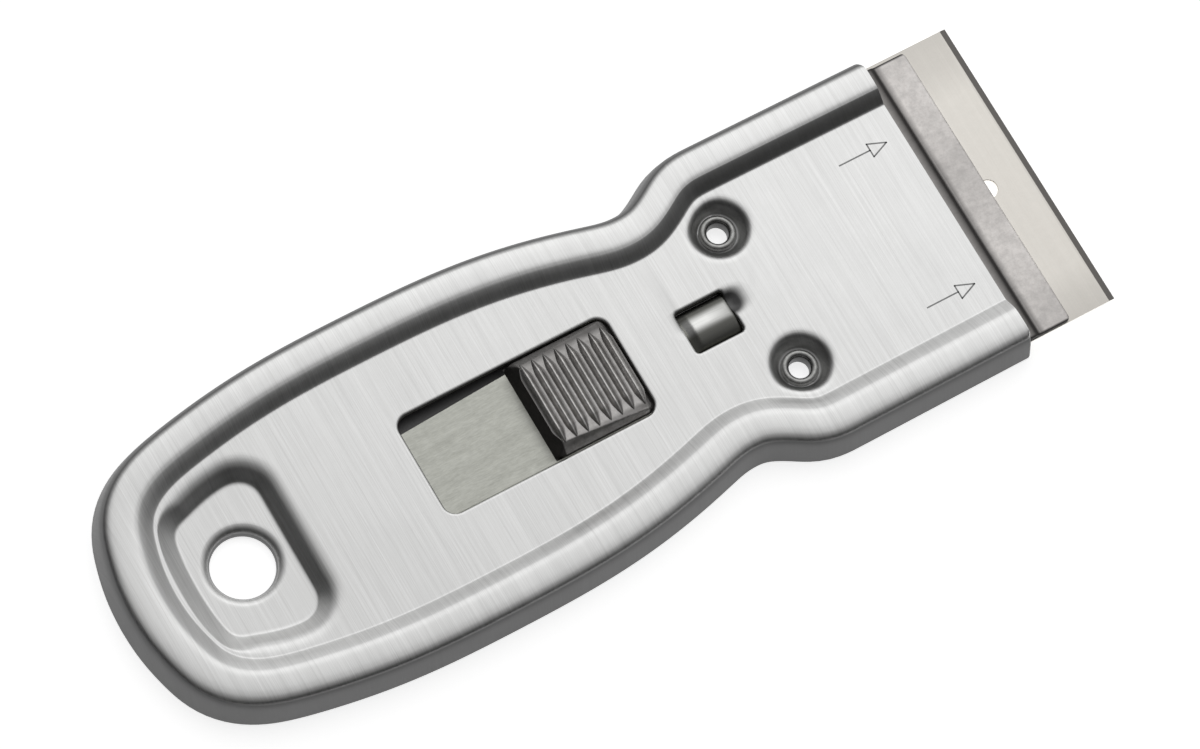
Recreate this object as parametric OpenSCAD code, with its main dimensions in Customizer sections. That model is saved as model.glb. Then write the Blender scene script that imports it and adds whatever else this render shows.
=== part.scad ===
// Retractable razor scraper for a ceramic hob, all metal.
// Two stampings are closed by two eyelets and by the drawn collar of the hang hole.
// A slide runs between them and carries a single edge blade, a thumb button and a lock spring.
// Millimetres. +X points to the blade, +Y to the left, +Z up through the thumb button.
// The origin is under the middle of the whole tool, on the surface that it lies on.

/* [Body] */
// Length of the body, from its rear end to the mouth
body_len = 107.6; // [100:0.1:125]
// How much wider the base is at its shoulders, beside the eyelets, than at the mouth
shoulder_extra = 0.3; // [0:0.1:3]
// Width across the base at the waist
waist_w = 33.7; // [32:0.1:36]
// Width across the base at the widest place of the handle
belly_w = 41.8; // [40:0.1:46]
// Distance from the mouth back to the waist
waist_back = 34.9; // [33:0.1:38]
// Distance from the mouth back to the widest place
belly_back = 67.9; // [62:0.1:74]
// Thickness of the front sheet
sheet_t = 0.75; // [0.6:0.01:0.9]
// Thickness of the back plate
back_t = 0.75; // [0.6:0.01:1.2]

/* [Rim] */
// Distance from the edge of the flat panel out to the foot of the outer wall
rim_w = 6.45; // [6:0.05:7.5]
// Height of the rim above the flat panel
rim_h = 1.3; // [0.8:0.05:2]
// Extra width of the rim round the rear end
rear_extra = 0.2; // [0:0.05:1]

/* [Slide and blade] */
// Thickness of the slide plate
slide_t = 0.6; // [0.5:0.01:0.8]
// Travel of the slide
travel = 13.8; // [8:0.1:14]
// Width of the slide plate between the eyelets
neck_w = 11; // [9:0.1:11.2]
// Width of the slide plate under the button
tail_w = 12.8; // [10:0.1:12.8]
// How much narrower the tail is at its rear, on its left side
tail_taper = 1.55; // [0:0.05:2]
// Length of the lip that shows ahead of the mouth
lip_reach = 5.85; // [4:0.05:7]
// How far each end of the lip stays behind the end of the blade
lip_short = 0.05; // [0:0.05:0.8]
// Length of the blade's edge
blade_len = 38.1; // [37.9:0.05:38.2]
// Height of the blade from the fold of its spine to its edge
blade_h = 17.5; // [17:0.05:19]
// Thickness of the blade steel
blade_t = 0.23; // [0.15:0.01:0.3]
// Distance from the mouth to the blade's edge, blade out
blade_reach = 11.9; // [10:0.1:12.5]
// Width of the folded spine on the blade
spine_w = 4.4; // [3.5:0.1:4.8]
// Thickness of one leaf of the spine
spine_leaf = 0.325; // [0.25:0.005:0.4]
// Width of the ground bevel along the edge
bevel_w = 0.8; // [0.5:0.1:2]
// Diameter of the hole in the blade
blade_hole_d = 2.3; // [1.5:0.1:4]
// Distance from the edge to the middle of that hole
blade_hole_back = 6; // [5:0.1:9]
// Distance of that hole from the middle of the blade, to the left
blade_hole_side = -0.6; // [-3:0.1:3]

/* [Thumb window and button] */
// Distance from the mouth back to the front of the thumb window
window_back = 42.1; // [40:0.1:46]
// Length of the thumb window
window_len = 27.3; // [24:0.1:30]
// Width of the thumb window
window_w = 13; // [12.8:0.1:15]
// Corner radius of the thumb window
window_r = 1.5; // [0.5:0.1:3]
// Length of the button at its foot
button_len = 12.8; // [9:0.1:13]
// Width of the button at its foot
button_w = 12.4; // [9:0.1:12.6]
// Corner radius of the button at its foot
button_r = 1.2; // [0.8:0.1:3]
// Height of the button's rear edge above the panel
button_h = 1.9; // [1.5:0.1:3]
// How much lower the button is at its front
button_fall = 0.9; // [0:0.1:1]
// Number of ribs across the button
button_ribs = 8; // [4:1:10]
// Distance from the rear of the button's foot to the first crest
rib_back = 1.5; // [0.8:0.05:2]
// Distance from the last crest to the front of the button's foot
rib_front = 0.75; // [0.5:0.05:1.5]
// Depth of the grooves between the ribs
rib_deep = 0.55; // [0.2:0.05:0.8]
// Diameter of the two studs that hold the button
stud_d = 1.6; // [1:0.1:2]

/* [Lock] */
// Distance from the mouth back to the front of the lock window
lock_back = 28.5; // [28:0.1:30]
// Length of the lock window
lock_len = 6.3; // [5:0.1:7]
// Width of the lock window
lock_w = 5.5; // [4:0.1:6]
// Thickness of the lock spring
spring_t = 0.35; // [0.2:0.01:0.4]
// How far the crest of the lock spring stays below the face of the panel
crest_drop = 0.1; // [0.05:0.05:0.6]

/* [Eyelets] */
// Distance from the mouth back to the eyelets
eyelet_back = 24.9; // [24:0.1:26]
// Distance between the two eyelets
eyelet_gap = 18.6; // [18:0.1:19]
// Bore of an eyelet
eyelet_bore = 2.5; // [2:0.05:2.8]
// Wall of an eyelet
eyelet_wall = 0.4; // [0.3:0.05:0.5]
// Diameter of the pressed dimple round an eyelet, at the panel
dimple_d = 7.2; // [6.6:0.1:7.4]

/* [Hang hole] */
// Distance from the rear end to the middle of the hang hole
hang_from_rear = 15.4; // [14:0.1:17]
// Diameter of the hang hole
hang_d = 7.5; // [5:0.1:8.5]
// Width of the flat pad round the hang hole
pad_w = 17.9; // [16:0.1:18.4]
// Length of the flat pad, along the body
pad_len = 11.3; // [9:0.1:11.5]

/* [Clearances] */
// Clearance above and below the slide
run_gap = 0.05; // [0.02:0.01:0.1]
// Clearance between parts that are closed up on each other
seat_gap = 0.03; // [0.01:0.01:0.1]
// Clearance between each end of the blade and the wall beside it, at the base
blade_side = 0.5; // [0.4:0.05:1.5]

/* [Hidden] */
$fn = 64;

// Heights, from the resting face up
spine_t = 2*spine_leaf + blade_t;
back_top = back_t;
blade_z = back_top + run_gap + spine_leaf;
slide_z = back_top + run_gap + spine_t;
panel_under = slide_z + slide_t + run_gap;
panel_z = panel_under + sheet_t;
seat_z = back_top + sheet_t;
lip_drop = spine_leaf;
button_top = panel_z + button_h;

// Places along the tool
tool_len = body_len + blade_reach;
rear_x = -tool_len/2;
mouth_x = rear_x + body_len;
edge_x = mouth_x + blade_reach;
spine_x = edge_x - blade_h;
eyelet_x = mouth_x - eyelet_back;
window_x1 = mouth_x - window_back;
window_x0 = window_x1 - window_len;
lock_x1 = mouth_x - lock_back;
lock_x0 = lock_x1 - lock_len;
hang_x = rear_x + hang_from_rear;
lip_x = mouth_x + lip_reach;

// Half widths of the edge of the flat panel, which the rim follows
front_w = blade_len + 2*(sheet_t + blade_side);
shoulder_w = front_w + shoulder_extra;
lip_w = blade_len - 2*lip_short;
front_p = front_w/2 - rim_w;
shoulder_p = shoulder_w/2 - rim_w;
waist_p = waist_w/2 - rim_w;
belly_p = belly_w/2 - rim_w;
rear_p = rear_x + rim_w + rear_extra;

function bez(a, b, c, d, n) = [for (i = [1:n]) let (t = i/n, u = 1 - t)
    u*u*u*a + 3*u*u*t*b + 3*u*t*t*c + t*t*t*d];

// A smooth leg from p, leaving at angle pa, to q, arriving at angle qa
function leg(p, pa, q, qa, n, pull = 0.38) = let (h = norm(q - p)*pull)
    bez(p, p + h*[cos(pa), sin(pa)], q - h*[cos(qa), sin(qa)], q, n);

// Left half of the panel's edge, from the mouth to the middle of the rear end
shoulder_pt = [mouth_x - waist_back + 10.4, shoulder_p];
neck_pt = [mouth_x - waist_back + 7.4, waist_p + 0.68*(shoulder_p - waist_p)];
flare_pt = [mouth_x - waist_back - 6, waist_p + 0.26*(belly_p - waist_p)];
flank_pt = [rear_p + 9.5, belly_p*0.865];
cheek_pt = [rear_p + 1.15, belly_p*0.5];
half_edge = concat(
    [[mouth_x, front_p], shoulder_pt],
    leg(shoulder_pt, 180, neck_pt, 211, 5, 0.45),
    leg(neck_pt, 211, [mouth_x - waist_back, waist_p], 180, 6),
    leg([mouth_x - waist_back, waist_p], 180, flare_pt, 165, 4),
    leg(flare_pt, 165, [mouth_x - belly_back, belly_p], 180, 6),
    leg([mouth_x - belly_back, belly_p], 180, flank_pt, 191.5, 5),
    leg(flank_pt, 191.5, cheek_pt, 254, 8, 0.38),
    leg(cheek_pt, 254, [rear_p, 0], 270, 3));
half_n = len(half_edge);
panel_edge = [for (i = [0:2*half_n - 2]) i < half_n ? half_edge[i]
    : [half_edge[2*half_n - 2 - i][0], -half_edge[2*half_n - 2 - i][1]]];
edge_n = len(panel_edge);

function unit(v) = v/norm(v);
// Outward normal of an edge that is walked with its inside on the left
function edge_normal(e, i, closed) = let (n = len(e),
    a = closed ? e[(i + n - 1)%n] : e[max(i - 1, 0)],
    b = closed ? e[(i + 1)%n] : e[min(i + 1, n - 1)],
    t = unit(b - a)) [t[1], -t[0]];
panel_normals = [for (i = [0:edge_n - 1]) edge_normal(panel_edge, i, false)];
// The rim is a little wider round the rear end
function rim_scale(x) = let (t = min(max((rear_p + 8 - x)/8, 0), 1))
    1 + rear_extra/rim_w*t*t*(3 - 2*t);
function rim_at(i, s) = panel_edge[i] + panel_normals[i]*s*rim_scale(panel_edge[i][0]);

// Section of the rim: [distance out from the panel's edge, height above the panel]
foot = rim_w;
root = 0.12;
rim_top = [[-root, -root], [1.25, rim_h - 0.28], [1.75, rim_h - 0.07], [2.4, rim_h], [3.5, rim_h],
    [4.5, rim_h - 0.12], [foot - 1.4, rim_h - 0.45], [foot - 1.02, 0.35], [foot - 0.72, -0.35],
    [foot - 0.42, -1.2], [foot, -panel_z]];
rim_under = [[foot - sheet_t, -panel_z], [foot - sheet_t, 0.1 + back_t - panel_z],
    [foot - 0.42 - sheet_t, -1.2], [foot - 0.75 - sheet_t, -0.5], [4.45, rim_h - 0.42 - sheet_t],
    [3.6, rim_h - sheet_t], [2.4, rim_h - sheet_t], [1.7, rim_h - sheet_t - 0.3], [0.5, -sheet_t]];

// A closed section swept along an open edge
module swept_rim(rings) {
    n = len(rings);
    m = len(rings[0]);
    points = [for (r = rings, p = r) p];
    skin = [for (i = [0:n - 2], j = [0:m - 1], k = [0, 1])
        let (a = i*m + j, b = i*m + (j + 1)%m) k == 0 ? [a, a + m, b + m] : [a, b + m, b]];
    polyhedron(points = points, faces = concat(skin,
        [[for (j = [0:m - 1]) j]], [[for (j = [0:m - 1]) (n - 1)*m + m - 1 - j]]));
}

// A solid through rings of one outline, lowest first: [distance out from the outline, height]
module stacked_solid(edge, runs, section) {
    n = len(edge);
    m = len(section);
    points = [for (s = section, i = [0:n - 1])
        let (p = edge[i] + edge_normal(edge, i, true)*s[0]*runs[i]) [p[0], p[1], s[1]]];
    skin = [for (j = [0:m - 2], i = [0:n - 1], k = [0, 1])
        let (a = j*n + i, b = j*n + (i + 1)%n) k == 0 ? [a, b + n, b] : [a, a + n, b + n]];
    polyhedron(points = points, faces = concat(skin, [[for (i = [0:n - 1]) i]],
        [[for (i = [0:n - 1]) (m - 1)*n + n - 1 - i]]));
}

module rounded_rect(x0, x1, w, r) {
    translate([x0 + r, -w/2]) square([x1 - x0 - 2*r, w]);
    translate([x0, -w/2 + r]) square([x1 - x0, w - 2*r]);
    for (x = [x0 + r, x1 - r], y = [-w/2 + r, w/2 - r]) translate([x, y]) circle(r);
}

// Edge of the flat pad round the hang hole, walked from the front corner to the rear
pad_x1 = hang_x + pad_len*0.505;
pad_x0 = pad_x1 - pad_len;
pad_half = concat(
    [[pad_x1, 0], [pad_x1, pad_w/2 - 2.5]],
    leg([pad_x1, pad_w/2 - 2.5], 90, [pad_x1 - 2.7, pad_w/2], 180, 5, 0.4),
    leg([pad_x1 - 2.7, pad_w/2], 183, [pad_x0 + 1.8, pad_w/2 - 1.6], 197, 3),
    leg([pad_x0 + 1.8, pad_w/2 - 1.6], 197, [pad_x0 + 0.35, pad_w/2 - 4], 262, 4, 0.4),
    leg([pad_x0 + 0.35, pad_w/2 - 4], 262, [pad_x0, 0], 270, 3));
pad_n = len(pad_half);
pad_edge = [for (i = [0:2*pad_n - 3]) i < pad_n ? pad_half[i]
    : [pad_half[2*pad_n - 2 - i][0], -pad_half[2*pad_n - 2 - i][1]]];
// The slope round the pad is longer at its rear, where it meets the foot of the rim
pocket_run = 2.1;
pad_runs = [for (i = [0:len(pad_edge) - 1]) 1 + 0.1*pow(max(0, -edge_normal(pad_edge, i, true)[0]), 2)];
pocket_void = [[0, seat_z], [0.3, seat_z + 0.12], [pocket_run - 0.7, panel_z - 0.3],
    [pocket_run - 0.15, panel_z - 0.06], [pocket_run + 0.05, panel_z + 0.05]];
pocket_block = [[0.35, back_top], [0.75, back_top + 0.16], [pocket_run - 0.1, panel_under - 0.1],
    [pocket_run + 0.25, panel_under + 0.3]];

// The pressed dimple round an eyelet, as two sections turned about the eyelet's axis
dimple_r = dimple_d/2;
eyelet_r = eyelet_bore/2 + eyelet_wall;
seat_hole_r = eyelet_r + seat_gap;
dimple_void = [[0, seat_z], [dimple_r - 1.2, seat_z], [dimple_r - 1, seat_z + 0.1],
    [dimple_r - 0.5, panel_z - 0.5], [dimple_r - 0.2, panel_z - 0.12], [dimple_r + 0.1, panel_z + 0.05],
    [0, panel_z + 0.05]];
dimple_block = [[0, back_top], [dimple_r - 0.8, back_top], [dimple_r - 0.45, back_top + 0.35],
    [dimple_r - 0.05, panel_under - 0.1], [dimple_r + 0.2, panel_under + 0.3], [0, panel_under + 0.3]];

// The collar drawn from the pad down through the back plate and rolled out there
hang_r = hang_d/2;
collar_r = hang_r + 0.5;
collar_block = [[0, 0], [collar_r + 0.25, 0], [collar_r + 0.3, 0.08], [collar_r, 0.34],
    [collar_r, back_top + 0.3], [0, back_top + 0.3]];
hang_void = [[0, -1], [hang_r + 0.6, -1], [hang_r + 0.12, 0], [hang_r, 0.12], [hang_r, seat_z - 0.5],
    [hang_r + 0.1, seat_z - 0.25], [hang_r + 0.35, seat_z - 0.06], [hang_r + 0.8, seat_z + 0.05],
    [hang_r + 0.8, seat_z + 1], [0, seat_z + 1]];

module front_shell() color("gainsboro") {
    rings = [for (i = [0:edge_n - 1]) [for (s = concat(rim_top, rim_under))
        let (p = rim_at(i, s[0])) [p[0] + (i == 0 || i == edge_n - 1 ? 1 : 0), p[1], panel_z + s[1]]]];
    slab = [for (i = [0:edge_n - 1]) rim_at(i, 0.4) + [i == 0 || i == edge_n - 1 ? 2 : 0, 0]];
    difference() {
        union() {
            swept_rim(rings);
            translate([0, 0, panel_under]) linear_extrude(sheet_t) polygon(slab);
            stacked_solid(pad_edge, pad_runs, pocket_block);
            for (y = [-1, 1]*eyelet_gap/2) translate([eyelet_x, y, 0])
                rotate_extrude() polygon(dimple_block);
            translate([hang_x, 0, 0]) rotate_extrude() polygon(collar_block);
        }
        translate([mouth_x, -front_w, -1]) cube([5, 2*front_w, panel_z + 5]);
        stacked_solid(pad_edge, pad_runs, pocket_void);
        for (y = [-1, 1]*eyelet_gap/2) translate([eyelet_x, y, 0]) {
            rotate_extrude() polygon(dimple_void);
            cylinder(r = seat_hole_r, h = panel_z);
        }
        translate([hang_x, 0, 0]) rotate_extrude() polygon(hang_void);
        translate([0, 0, panel_under - 1]) linear_extrude(3) {
            rounded_rect(window_x0, window_x1, window_w, window_r);
            rounded_rect(lock_x0, lock_x1, lock_w, 0.3);
        }
    }
}

// The back plate lies inside the foot of the outer wall
module back_plate() color("silver") {
    inset = foot - sheet_t - seat_gap - 0.02;
    outline = [for (i = [0:edge_n - 1]) rim_at(i, inset)];
    difference() {
        linear_extrude(back_t) polygon(outline);
        for (y = [-1, 1]*eyelet_gap/2) translate([eyelet_x, y, 0]) {
            translate([0, 0, -1]) cylinder(r = seat_hole_r, h = 3);
            translate([0, 0, -0.01]) cylinder(r1 = eyelet_r + 0.72, r2 = seat_hole_r, h = 0.45);
        }
        translate([hang_x, 0, 0]) {
            translate([0, 0, -1]) cylinder(r = collar_r + seat_gap, h = 3);
            translate([0, 0, -0.01]) cylinder(r1 = collar_r + 0.42,
                r2 = collar_r + seat_gap, h = 0.45);
        }
    }
}

// A tubular rivet: a curled head on the dimple's floor, its end rolled out in the back plate
module eyelet() {
    b = eyelet_bore/2;
    curl_h = 0.42;
    rotate_extrude() polygon([[b, 0.15], [b, seat_z + curl_h - 0.22], [b + 0.16, seat_z + curl_h - 0.05],
        [b + 0.38, seat_z + curl_h], [b + 0.68, seat_z + curl_h - 0.06], [b + 0.9, seat_z + curl_h - 0.24],
        [b + 0.92, seat_z], [eyelet_r, seat_z], [eyelet_r, 0.42], [eyelet_r + 0.42, 0.12],
        [eyelet_r + 0.4, 0], [b + 0.1, 0]]);
}
module eyelet_left() color("lightgray") translate([eyelet_x, eyelet_gap/2, 0]) eyelet();
module eyelet_right() color("lightgray") translate([eyelet_x, -eyelet_gap/2, 0]) eyelet();

// The slide plate: a tail under the button, a neck between the eyelets, and a head over the blade
tail_x = window_x0 - 0.75;
neck_x0 = eyelet_x - dimple_r - 0.25;
head_x = spine_x - 1.6;
head_w = lip_w - 0.6;
bend_x0 = mouth_x - 0.5;
bend_x1 = mouth_x + 1.3;
bend_n = 8;
function bend(x) = let (t = min(max((x - bend_x0)/(bend_x1 - bend_x0), 0), 1)) lip_drop*t*t*(3 - 2*t);
bend_xs = [for (i = [0:bend_n]) bend_x0 + (bend_x1 - bend_x0)*i/bend_n];
// The two lugs go through the notches at the ends of the blade
lug_x0 = spine_x + spine_w + 0.2;
lug_x1 = lug_x0 + 0.75;
lug_deep = 1.3;
slot_gap = 0.25;
button_x1 = window_x1 - 0.4;
button_x0 = button_x1 - button_len;
stud_xs = [button_x0 + 3.2, button_x1 - 3.2];

module slide_plate() color("darkgray") {
    difference() {
        union() {
            translate([0, 0, slide_z]) linear_extrude(slide_t) {
                polygon([[tail_x, -tail_w/2], [neck_x0 + 0.5, -tail_w/2], [neck_x0 + 0.5, tail_w/2],
                    [window_x1, tail_w/2], [tail_x, tail_w/2 - tail_taper]]);
                translate([neck_x0 - 1.5, -neck_w/2]) square([head_x - neck_x0 + 3, neck_w]);
            }
            intersection() {
                rotate([90, 0, 0]) translate([0, 0, -lip_w/2]) linear_extrude(lip_w)
                    polygon(concat([[head_x, slide_z + slide_t]],
                        [for (x = bend_xs) [x, slide_z + slide_t - bend(x)]],
                        [[lip_x, slide_z + slide_t - lip_drop], [lip_x, slide_z - lip_drop]],
                        [for (i = [bend_n:-1:0]) [bend_xs[i], slide_z - bend(bend_xs[i])]],
                        [[head_x, slide_z]]));
                linear_extrude(panel_z) {
                    rounded_rect(head_x, bend_x1, head_w, 0.4);
                    rounded_rect(bend_x0 + 0.9, lip_x, lip_w, 0.5);
                }
            }
            for (s = [-1, 1]) translate([lug_x0, s > 0 ? lip_w/2 - lug_deep : -lip_w/2, blade_z - 0.1])
                cube([lug_x1 - lug_x0, lug_deep, slide_z - blade_z + 0.2]);
        }
        translate([0, 0, slide_z - 1]) linear_extrude(3) {
            for (x = stud_xs) translate([x, 0]) circle(d = stud_d + 2*seat_gap);
            rounded_rect(lock_x0 - 0.1, lock_x1 + 0.1, lock_w + 0.2, 0.3);
        }
    }
}

// The button: a ribbed casting with drafted sides, its two studs headed under the spring
rib_pitch = (button_len - rib_back - rib_front)/(button_ribs - 1);
module thumb_button() color("dimgray") {
    ribs = [for (k = [0:6*(button_ribs - 1)]) [button_x0 + rib_back + rib_pitch*k/6,
        button_top - button_fall*k/(6*(button_ribs - 1)) - rib_deep*pow(abs(sin(30*k)), 0.8)]];
    side = [[1, slide_z + slide_t], [1, panel_z - 0.3], [0.98, panel_z + 0.2], [0.92, button_top - 0.7],
        [0.89, button_top - 0.3], [0.84, button_top]];
    intersection() {
        rotate([90, 0, 0]) translate([0, 0, -button_w]) linear_extrude(2*button_w)
            polygon(concat([[button_x0, slide_z + slide_t]], ribs,
                [[button_x1, panel_z], [button_x1, slide_z + slide_t]]));
        rotate([90, 0, 90]) translate([0, 0, button_x0 - 1]) linear_extrude(button_len + 2)
            polygon(concat([for (q = side) [-q[0]*button_w/2, q[1]]],
                [for (k = [len(side) - 1:-1:0]) [side[k][0]*button_w/2, side[k][1]]]));
        linear_extrude(2*panel_z) rounded_rect(button_x0, button_x1, button_w, button_r);
    }
    for (x = stud_xs) translate([x, 0, 0]) {
        translate([0, 0, slide_z - spring_t - 0.1]) cylinder(d = stud_d, h = slide_t + spring_t + 0.3);
        translate([0, 0, slide_z - spring_t - 0.28]) cylinder(d = stud_d + 1.2, h = 0.28);
    }
}

// The lock spring: a leaf under the tail with a half round bump that stands in the lock window
module lock_spring() color("lightslategray") {
    leaf_w = lock_w + 2.4;
    half = lock_w/2 - slot_gap;
    rise = panel_z - crest_drop - slide_z;
    bump_r = (half*half + rise*rise)/(2*rise);
    drop = bump_r - rise;
    inner_r = bump_r - spring_t;
    outer_a = asin(drop/bump_r);
    inner_a = asin((drop - spring_t)/inner_r);
    difference() {
        translate([0, 0, slide_z - spring_t]) linear_extrude(spring_t)
            rounded_rect(button_x0 + 1, lock_x1 + 1, leaf_w, 1);
        translate([lock_x0 + slot_gap, -half, slide_z - 1]) cube([lock_len - 2*slot_gap, 2*half, 3]);
        for (x = stud_xs) translate([x, 0, slide_z - 1]) cylinder(d = stud_d + 2*seat_gap, h = 3);
    }
    translate([lock_x0 + slot_gap, 0, slide_z - drop]) rotate([90, 0, 90])
        linear_extrude(lock_len - 2*slot_gap) polygon(concat(
            [for (k = [0:20]) let (a = outer_a + (180 - 2*outer_a)*k/20) bump_r*[cos(a), sin(a)]],
            [[-half, drop - spring_t]],
            [for (k = [20:-1:0]) let (a = inner_a + (180 - 2*inner_a)*k/20) inner_r*[cos(a), sin(a)]],
            [[half, drop - spring_t]]));
}

// The blade: ground steel, notched at its ends for the lugs
module razor_blade() color("lightsteelblue") {
    fold_x = spine_x + spine_leaf + 0.05;
    difference() {
        rotate([90, 0, 0]) translate([0, 0, -blade_len/2]) linear_extrude(blade_len)
            polygon([[fold_x, blade_z], [edge_x - bevel_w, blade_z], [edge_x, blade_z + blade_t/2],
                [edge_x - bevel_w, blade_z + blade_t], [fold_x, blade_z + blade_t]]);
        for (s = [-1, 1]) translate([lug_x0 - 0.15, s > 0 ? blade_len/2 - lug_deep - 0.25 : -blade_len/2 - 1,
            blade_z - 1]) cube([lug_x1 - lug_x0 + 0.3, lug_deep + 1.25, 3]);
        translate([edge_x - blade_hole_back, blade_hole_side, blade_z - 1]) cylinder(d = blade_hole_d, h = 3);
    }
}

// The spine: one strip folded over the back of the blade
module blade_spine() color("slategray") {
    z0 = blade_z - spine_leaf;
    z1 = blade_z + blade_t + spine_leaf;
    r = spine_t/2;
    rotate([90, 0, 0]) translate([0, 0, -blade_len/2 + 0.3]) linear_extrude(blade_len - 0.6)
        polygon(concat(
            [for (k = [0:8]) let (a = 90 + 180*k/8) [spine_x + r + r*cos(a), (z0 + z1)/2 + r*sin(a)]],
            [[spine_x + spine_w, z0], [spine_x + spine_w, blade_z], [spine_x + spine_leaf, blade_z],
            [spine_x + spine_leaf, blade_z + blade_t], [spine_x + spine_w, blade_z + blade_t],
            [spine_x + spine_w, z1]]));
}

front_shell();
back_plate();
eyelet_left();
eyelet_right();
slide_plate();
thumb_button();
lock_spring();
razor_blade();
blade_spine();
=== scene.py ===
"""Retractable razor scraper for a ceramic hob, dressed over its CAD frame."""
import math
import bpy
import numpy as np
from mathutils import Matrix, Vector
from mathutils.geometry import delaunay_2d_cdt

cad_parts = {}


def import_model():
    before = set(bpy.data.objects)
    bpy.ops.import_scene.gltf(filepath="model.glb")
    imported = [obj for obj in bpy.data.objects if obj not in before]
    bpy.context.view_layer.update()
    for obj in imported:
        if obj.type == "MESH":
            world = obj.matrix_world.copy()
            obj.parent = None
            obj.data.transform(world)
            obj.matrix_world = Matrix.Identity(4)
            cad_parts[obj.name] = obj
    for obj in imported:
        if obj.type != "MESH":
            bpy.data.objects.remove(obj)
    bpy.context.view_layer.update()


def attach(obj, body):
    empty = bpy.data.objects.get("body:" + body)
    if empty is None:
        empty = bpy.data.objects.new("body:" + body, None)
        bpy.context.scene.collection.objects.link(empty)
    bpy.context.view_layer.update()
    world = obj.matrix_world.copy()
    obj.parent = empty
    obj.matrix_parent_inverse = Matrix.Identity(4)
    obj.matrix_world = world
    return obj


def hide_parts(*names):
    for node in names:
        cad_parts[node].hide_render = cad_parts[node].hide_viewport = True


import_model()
MM = 0.001

# Sizes in millimetres, as in the part's source
BODY_LEN, BLADE_REACH = 107.6, 11.9
FRONT_W, SHOULDER_W, WAIST_W, BELLY_W = 40.6, 40.9, 33.7, 41.8
WAIST_BACK, BELLY_BACK = 34.9, 67.9
SHEET_T, BACK_T, SLIDE_T, SPRING_T = 0.75, 0.75, 0.6, 0.35
RIM_W, RIM_H, REAR_EXTRA = 6.45, 1.3, 0.2
BLADE_LEN, BLADE_H, BLADE_T, LEAF = 38.1, 17.5, 0.23, 0.325
RUN_GAP, SEAT_GAP = 0.05, 0.03
EDGE_X = (BODY_LEN + BLADE_REACH)/2
REAR_X = -EDGE_X
MOUTH_X = REAR_X + BODY_LEN
SPINE_X = EDGE_X - BLADE_H
PANEL_REAR_X = REAR_X + RIM_W + REAR_EXTRA
SLIDE_Z = BACK_T + RUN_GAP + 2*LEAF + BLADE_T
UNDER_Z = SLIDE_Z + SLIDE_T + RUN_GAP
PANEL_Z = UNDER_Z + SHEET_T
SEAT_Z = BACK_T + SHEET_T
WINDOW_X1 = MOUTH_X - 42.1
WINDOW_X0 = WINDOW_X1 - 27.3
WINDOW_W = 13.0
LOCK_X1 = MOUTH_X - 28.5
LOCK_X0 = LOCK_X1 - 6.3
LOCK_W = 5.5
EYELET_X, EYELET_Y = MOUTH_X - 24.9, 9.3
EYELET_R, BORE_R, DIMPLE_R = 1.65, 1.25, 3.6
HANG_X, HANG_R = REAR_X + 15.4, 3.75
LIP_X, LIP_W = MOUTH_X + 5.85, 38.0
BUTTON_X1 = WINDOW_X1 - 0.4
BUTTON_X0 = BUTTON_X1 - 12.8
POINT_R = 1e-3  # a ring this small is walked out to its radii by the section of a stack


def unit(v):
    """A value, or each of an array, held between 0 and 1."""
    return np.clip(v, 0, 1)


def smooth(t):
    """From 0 to 1 with a level start and end."""
    return t*t*(3 - 2*t)


def rounded(d, r):
    """How far a corner of radius r falls short at the distance d from its end."""
    d = min(max(d, 0), r)
    return r - math.sqrt(max(0, r*r - (r - d)**2))


def bezier(a, b, c, d, n):
    """A cubic curve in n steps, without its first point."""
    t = np.linspace(0, 1, n + 1)[1:, None]
    u = 1 - t
    return u**3*a + 3*u*u*t*b + 3*u*t*t*c + t**3*d


def leg(p, angle_p, q, angle_q, n=24, pull=0.38):
    """Smooth run from p to q with its headings in degrees."""
    p, q = np.array(p, float), np.array(q, float)
    h = np.linalg.norm(q - p)*pull
    p1 = p + h*np.array([math.cos(math.radians(angle_p)), math.sin(math.radians(angle_p))])
    q1 = q - h*np.array([math.cos(math.radians(angle_q)), math.sin(math.radians(angle_q))])
    return bezier(p, p1, q1, q, n)


def even(points, step, closed):
    """The same line with points an even step apart."""
    points = np.array(points, float)
    if closed:
        points = np.vstack([points, points[:1]])
    length = np.r_[0, np.cumsum(np.linalg.norm(np.diff(points, axis=0), axis=1))]
    n = max(3, int(round(length[-1]/step)))
    at = np.linspace(0, length[-1], n + 1)
    if closed:
        at = at[:-1]
    return np.c_[np.interp(at, length, points[:, 0]), np.interp(at, length, points[:, 1])]


def outward(points, closed):
    """Normals to the right of the walk, which is outward when it goes anticlockwise."""
    if closed:
        d = np.roll(points, -1, axis=0) - np.roll(points, 1, axis=0)
    else:
        d = np.gradient(points, axis=0)
    d /= np.linalg.norm(d, axis=1)[:, None]
    return np.c_[d[:, 1], -d[:, 0]]


def soften(points, rounds, closed):
    """Evens out the joins of a sampled line; the ends of an open line are kept."""
    p = points.copy()
    for _ in range(rounds):
        if closed:
            p = 0.5*p + 0.25*(np.roll(p, 1, axis=0) + np.roll(p, -1, axis=0))
        else:
            p[1:-1] = 0.5*p[1:-1] + 0.25*(p[:-2] + p[2:])
    return p


def mirrored(half, closed=False):
    """A left half with its right half added, walked back to where it began."""
    back = half[::-1][1:] if not closed else half[::-1][1:-1]
    return np.vstack([half, back*[1, -1]])


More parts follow.
